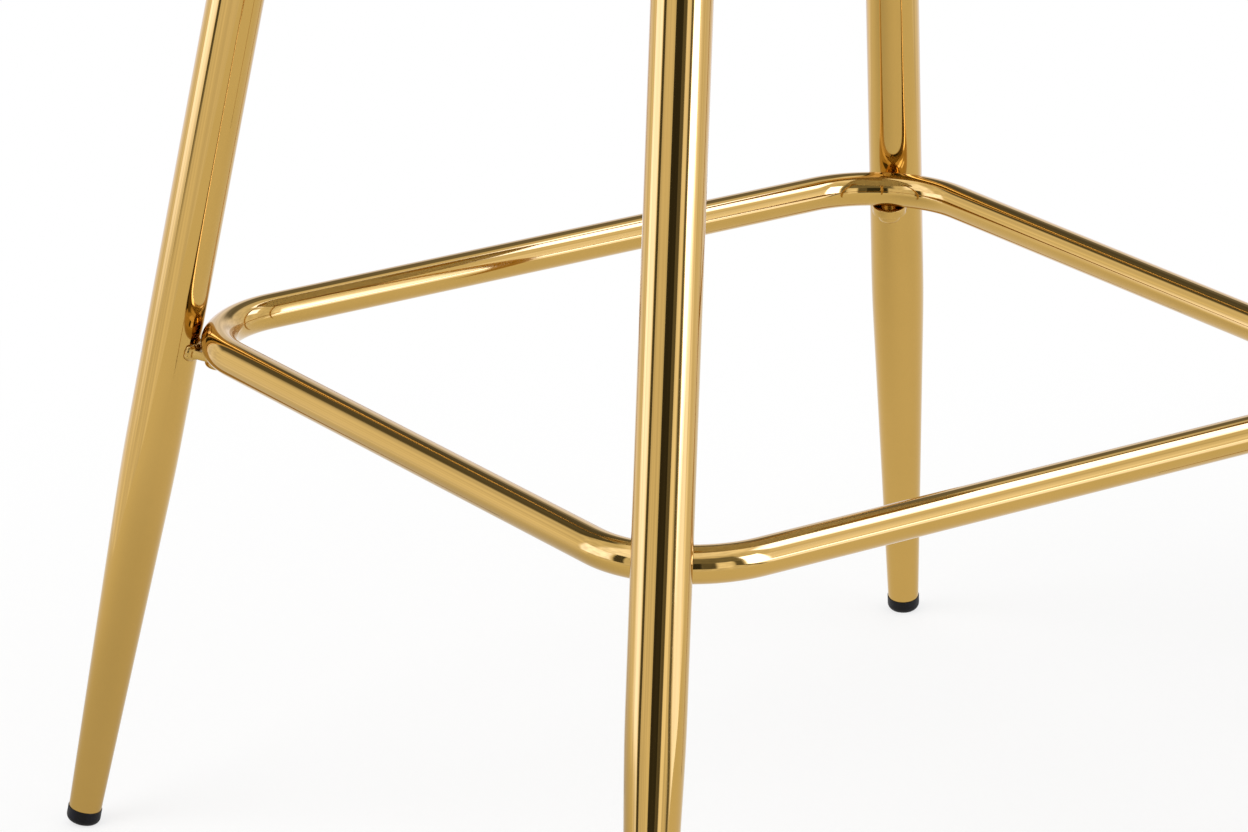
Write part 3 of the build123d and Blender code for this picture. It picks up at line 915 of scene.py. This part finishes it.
thread = sewing_thread()
for row_name, sewn, height in (
    ("stitches_above", cover, SEAM_HEIGHT + STITCH_DROP),
    ("stitches_below", band, SEAM_HEIGHT - STITCH_DROP),
):
    surface = BVHTree.FromPolygons(
        [vertex.co for vertex in sewn.data.vertices],
        [face.vertices for face in sewn.data.polygons],
    )
    spots = []
    ways = []
    for number in range(STITCH_POINTS):
        start, out = seat_edge(-STITCH_REACH, number / STITCH_POINTS)
        spot, way, face, distance = surface.ray_cast(start + Vector((0, 0, height)), -out)
        spots.append(spot)
        ways.append(way)
    path = closed_path(row_name, spots, ways)
    stitches = row_of(row_name, stitch(), path, STITCH_SPACING, STITCH_UNEVEN, thread)
    fit(stitches, "seat_cloth")

# Seat lining
# A sheet of off-white spunbonded polypropylene under the board, cut to fit inside the turned cover
# and pulled flat between the board and the leg plates.
LINING_INSET = 0.0281
LINING_THICKNESS = 0.0004
LINING_HEIGHT = 0.0009
LINING_WAVE_WIDTH = 0.03
LINING_WAVE_DEPTH = 0.0002
LINING_RINGS = 40


def spunbond():
    """Thin felted fibre sheet, pressed in small dots to hold it together."""
    dot_pitch = 0.0022
    fibre_width = 0.0009
    material, tree, shader, place = new_material("Spunbond_polypropylene")
    part = add(tree, "SeparateXYZ", {"Vector": place}).outputs
    waves = []
    for axis in ("X", "Y"):
        turn = add(tree, "Math", {0: part[axis], 1: 2 * math.pi / dot_pitch}, operation="MULTIPLY")
        waves.append(add(tree, "Math", {0: turn}, operation="SINE"))
    dots = add(tree, "Math", {0: waves[0], 1: waves[1]}, operation="MULTIPLY")
    pressed = add(tree, "MapRange", {"Value": dots, "From Min": 0.4, "From Max": 0.7})
    fibre = {"Vector": place, "Scale": 1 / fibre_width, "Detail": 5.0, "Distortion": 1.5}
    fibre = add(tree, "TexNoise", fibre)
    felt = {"Factor": fibre, "A": colour("#C9C3B9"), "B": colour("#E6E1D8")}
    felt = add(tree, "Mix", felt, data_type="RGBA")
    shades = {"Factor": pressed, "A": felt, "B": colour("#BCB5A9")}
    shade = add(tree, "Mix", shades, data_type="RGBA")
    bump = add(tree, "Bump", {"Height": pressed, "Distance": -0.00012})
    wire(tree, shader, {"Base Color": shade, "Roughness": 0.85, "Normal": bump})
    return material


lining_edge = [seat_edge(LINING_INSET, number / PAD_POINTS)[0] for number in range(PAD_POINTS)]
lining_loops = []
for number in range(1, LINING_RINGS + 1):
    loop = [point * number / LINING_RINGS for point in lining_edge]
    for point in loop:
        point.z = BAND_LOW + LINING_HEIGHT + LINING_WAVE_DEPTH * noise.noise(point / LINING_WAVE_WIDTH)
    lining_loops.append(loop)
lining_middle = Vector((0, 0, BAND_LOW + LINING_HEIGHT))
lining = new_piece("seat_lining_sheet", skin("seat_lining_sheet", lining_loops, lining_middle))
thicken(lining, LINING_THICKNESS, offset=0.0)
settle(lining, spunbond())
fit(lining, "lining_cloth", "seat_lining")

# Cover staples
# Zinc-plated wire staples, 10 mm wide, shot through the turned cover into the board every 34 mm.
# They lie flat along the middle of the turned edge, and press the pleats of the corners down.
STAPLE_WIDTH = 0.010
STAPLE_LENGTH = 0.006
STAPLE_WIRE = (0.0012, 0.0007)
STAPLE_SPACING = 0.034


def staple():
    """A flat wire bent to a crown and two legs, which point away from the way that it faces."""
    half = STAPLE_WIDTH / 2
    deep = STAPLE_WIRE[1]
    outer = [(-half, -STAPLE_LENGTH), (-half, deep), (half, deep), (half, -STAPLE_LENGTH)]
    near = half - deep
    inner = [(-near, -STAPLE_LENGTH), (-near, 0), (near, 0), (near, -STAPLE_LENGTH)]
    loops = []
    for (far_x, far_z), (near_x, near_z) in zip(outer, inner):
        side = STAPLE_WIRE[0] / 2
        low = [Vector((near_x, -side, near_z)), Vector((near_x, side, near_z))]
        loops.append([*low, Vector((far_x, side, far_z)), Vector((far_x, -side, far_z))])
    ends = [sum(loop, Vector()) / 4 for loop in (loops[0], loops[-1])]
    return skin("staple", loops, *ends)


staple_points = [seat_edge(STAPLE_INSET, number / STITCH_POINTS)[0] for number in range(STITCH_POINTS)]
for point in staple_points:
    point.z = BAND_LOW
staple_path = closed_path("staples", staple_points, [Vector((0, 0, -1))] * STITCH_POINTS)
staples = row_of("staples", staple(), staple_path, STAPLE_SPACING, 0.0, zinc)
fit(staples, "zinc_steel", "cover_staples")

# Seat screws
# Sixteen zinc-plated button-head screws with washers, four to a plate.
# They come from below through the leg plates and the board's underside into the tee nuts.
dress(zinc, "seat_screws", "seat_washers")

# Floor and studio
# The stool stands on a white paper sweep, in a white room with soft boxes left, right and overhead.
# The room is dark above the sweep and behind the camera, which draws the dark stripes in the plating.
CAMERA_YAW = math.radians(34.53)
CAMERA_PITCH = math.radians(19.67)
CAMERA_ROLL = math.radians(-0.10)
CAMERA_PLACE = Vector((-1.5423, -2.11441, 1.14969))
CAMERA_LENS = 183.02
SENSOR_WIDTH = 36.0
FLOOR_RADIUS = 0.85
FLOOR_FADE = 0.35
FLOOR_SIDES = 96

# Bearings are degrees from the camera's side, positive to its right; each line is bearing from and to,
# elevation from and to, brightness, softness of the edge, and lean of the sides below the horizon
PANELS = {
    "left wall": (-150, -98, -34, 24, 1.15, 5, 0),
    "dark back left": (-185, -123, 26, 58, 0.14, 4, 0),
    "dark back right": (157, 185, 22, 56, 0.24, 4, 0),
    "overhead": (-180, 180, 62, 92, 1.5, 6, 0),
    "dark front": (-28, 45, 22, 52, 0.28, 4, 0),
    "left high box": (-90, -45, 24, 60, 1.9, 5, 0),
    "top box": (85, 131, 43, 59, 4.5, 4, 0),
    "right back box": (103, 122, 22, 34, 3.5, 3, 0),
    "left box": (-102, -70, -9, 22, 2.3, 2.5, 0),
    "right spill": (64, 74, -16, 28, 1.5, 4, -1.6),
    "right box foot": (46, 66, -16, -2, 2.1, 2.5, -1.6),
    "right box": (46, 65, -4, 40, 6.0, 2, -1.6),
    "right sliver": (21, 34, -9, 24, 1.4, 2, 0),
    "camera gap": (-20, 9, -9, 24, 0.05, 1.5, 0),
    "camera edge": (8, 20, -9, 24, 0.17, 1.5, 0),
    "left stand": (-67, -57, -11, 24, 0.1, 1.2, 0),
    "right stand": (36, 43, -14, 24, 0.2, 1.3, -1.6),
}
COLD_TINT = (-0.06, 0.05, 0.8)
ROOM_LIGHT = (1.05, 1.07, 1.22, 1.0)
AMBIENT_LEVEL = 0.58
UNEVEN_WIDTH = 0.12
UNEVEN_SHARE = 0.16


def studio_world():
    """White to the camera, soft boxes and dark gaps to the metal, a plain level to everything else."""
    world = bpy.data.worlds.new("Studio")
    world.use_nodes = True
    tree = world.node_tree
    tree.nodes.clear()
    ray = add(tree, "TexCoord").outputs["Generated"]
    facing = add(tree, "VectorRotate", {"Vector": ray, "Angle": CAMERA_YAW}, rotation_type="Z_AXIS")
    part = add(tree, "SeparateXYZ", {"Vector": facing}).outputs
    near = add(tree, "Math", {0: part["Y"], 1: -1.0}, operation="MULTIPLY")
    bearing = add(tree, "Math", {0: part["X"], 1: near}, operation="ARCTAN2")
    bearing = add(tree, "Math", {0: bearing}, operation="DEGREES")
    rise = add(tree, "Math", {0: part["Z"]}, operation="ARCSINE")
    rise = add(tree, "Math", {0: rise}, operation="DEGREES")
    light = ROOM_LIGHT
    below = add(tree, "Math", {0: rise, 1: 0.0}, operation="MINIMUM")
    for left, right, low, high, brightness, softness, lean in PANELS.values():
        aside = add(tree, "Math", {0: below, 1: -lean, 2: bearing}, operation="MULTIPLY_ADD")
        beyond = []
        for angle, start, end in ((aside, left, right), (rise, low, high)):
            angle = add(tree, "Math", {0: angle, 1: (start + end) / 2}, operation="SUBTRACT")
            angle = add(tree, "Math", {0: angle, 1: 180.0, 2: -180.0}, operation="WRAP")
            angle = add(tree, "Math", {0: angle}, operation="ABSOLUTE")
            beyond.append(add(tree, "Math", {0: angle, 1: (end - start) / 2}, operation="SUBTRACT"))
        outside = add(tree, "Math", {0: beyond[0], 1: beyond[1]}, operation="MAXIMUM")
        edge = {"Value": outside, "From Min": softness, "From Max": -softness}
        inside = add(tree, "MapRange", edge, interpolation_type="SMOOTHSTEP")
        cold = min(max(brightness - 1, 0), 2)
        panel = (*[brightness * (1 + share * cold) for share in COLD_TINT], 1.0)
        light = add(tree, "Mix", {"Factor": inside, "A": light, "B": panel}, data_type="RGBA")
    uneven = add(tree, "TexNoise", {"Vector": ray, "Scale": 1 / UNEVEN_WIDTH, "Detail": 2.0})
    uneven = {"Value": uneven, **NOISE_SPAN, "To Min": 1 - UNEVEN_SHARE, "To Max": 1 + UNEVEN_SHARE}
    uneven = add(tree, "MapRange", uneven)
    light = add(tree, "VectorMath", {0: light, "Scale": uneven}, operation="SCALE")
    path = add(tree, "LightPath").outputs
    mirrored = {0: path["Is Glossy Ray"], 1: path["Is Transmission Ray"]}
    mirrored = add(tree, "Math", mirrored, operation="MAXIMUM")
    plain = (AMBIENT_LEVEL, AMBIENT_LEVEL, AMBIENT_LEVEL, 1.0)
    level = add(tree, "Mix", {"Factor": mirrored, "A": plain, "B": light}, data_type="RGBA")
    white = {"Factor": path["Is Camera Ray"], "A": level, "B": colour("#FFFFFF")}
    level = add(tree, "Mix", white, data_type="RGBA")
    glow = add(tree, "Background", {"Color": level})
    add(tree, "OutputWorld", {"Surface": glow})
    return world


def paper_floor():
    """White paper that keeps the stool's shadow faintly; a soft shade is painted on its left, for the metal
    to mirror.
    """
    glow_share = 0.72
    painted_shade_place = (-0.3, 0.18, 0.0)
    painted_shade_reach = 0.52
    material, tree, shader, place = new_material("White_paper_sweep")
    tree.nodes.remove(shader)
    path = add(tree, "LightPath").outputs
    seen = path["Is Camera Ray"]
    for kind in ("Is Glossy Ray", "Is Transmission Ray"):
        seen = add(tree, "Math", {0: seen, 1: path[kind]}, operation="MAXIMUM")
    reach = add(tree, "VectorMath", {0: place}, operation="LENGTH").outputs["Value"]
    fade = {"From Min": FLOOR_FADE, "From Max": FLOOR_RADIUS, "To Min": glow_share, "To Max": 1.0}
    fade = add(tree, "MapRange", {"Value": reach, **fade}, interpolation_type="SMOOTHSTEP")
    share = add(tree, "Math", {0: seen, 1: fade}, operation="MULTIPLY")
    # painted shade: a grey pool painted into the paper's glow, seen only in reflections
    away = add(tree, "VectorMath", {0: place, 1: painted_shade_place}, operation="DISTANCE")
    away = away.outputs["Value"]
    shade = {"Value": away, "From Min": 0.0, "From Max": painted_shade_reach, "To Min": 1.0, "To Max": 0.0}
    shade = add(tree, "MapRange", shade, interpolation_type="SMOOTHSTEP")
    shade = add(tree, "Math", {0: shade, 1: path["Is Glossy Ray"]}, operation="MULTIPLY")
    painted_shade_tones = {"Factor": shade, "A": colour("#FFFFFF"), "B": colour("#D9D9D9")}
    tone = add(tree, "Mix", painted_shade_tones, data_type="RGBA")
    paper = add(tree, "BsdfDiffuse", {"Color": colour("#F8F8F8")})
    glow = add(tree, "Emission", {"Color": tone})
    mix = add(tree, "MixShader", {0: share, 1: paper.outputs[0], 2: glow.outputs[0]})
    wire(tree, tree.nodes["Material Output"], {"Surface": mix})
    return material


bpy.context.scene.world = studio_world()
floor_mesh = bpy.data.meshes.new("paper_floor")
floor_turns = [2 * math.pi * number / FLOOR_SIDES for number in range(FLOOR_SIDES)]
floor_edge = [(FLOOR_RADIUS * math.cos(turn), FLOOR_RADIUS * math.sin(turn), 0) for turn in floor_turns]
floor_mesh.from_pydata(floor_edge, [], [range(FLOOR_SIDES)])
floor_mesh.materials.append(paper_floor())
floor = new_piece("paper_floor", floor_mesh)

# Lamps: bearing, elevation, strength and softness in degrees
LAMPS = {
    "key_lamp": (-55, 52, 1.05, 40),
    "fill_lamp": (70, 40, 0.55, 70),
    "back_lamp": (165, 55, 0.4, 60),
}
for lamp_name, (lamp_bearing, lamp_rise, strength, softness) in LAMPS.items():
    lamp = bpy.data.lights.new(lamp_name, "SUN")
    lamp.energy = strength
    lamp.angle = math.radians(softness)
    lamp_object = new_piece(lamp_name, lamp)
    turn = math.radians(lamp_bearing) - CAMERA_YAW
    lamp_object.rotation_euler = (math.radians(90 - lamp_rise), 0, turn)
    lamp_object.visible_glossy = False

camera_data = bpy.data.cameras.new("camera")
camera_data.lens = CAMERA_LENS
camera_data.sensor_width = SENSOR_WIDTH
camera_data.sensor_fit = "HORIZONTAL"
camera = new_piece("camera", camera_data)
aim = Matrix.Rotation(-CAMERA_YAW, 4, "Z") @ Matrix.Rotation(math.pi / 2 - CAMERA_PITCH, 4, "X")
camera.matrix_world = Matrix.Translation(CAMERA_PLACE) @ aim @ Matrix.Rotation(CAMERA_ROLL, 4, "Z")
bpy.context.scene.camera = camera
bpy.context.scene.view_settings.view_transform = "Standard"
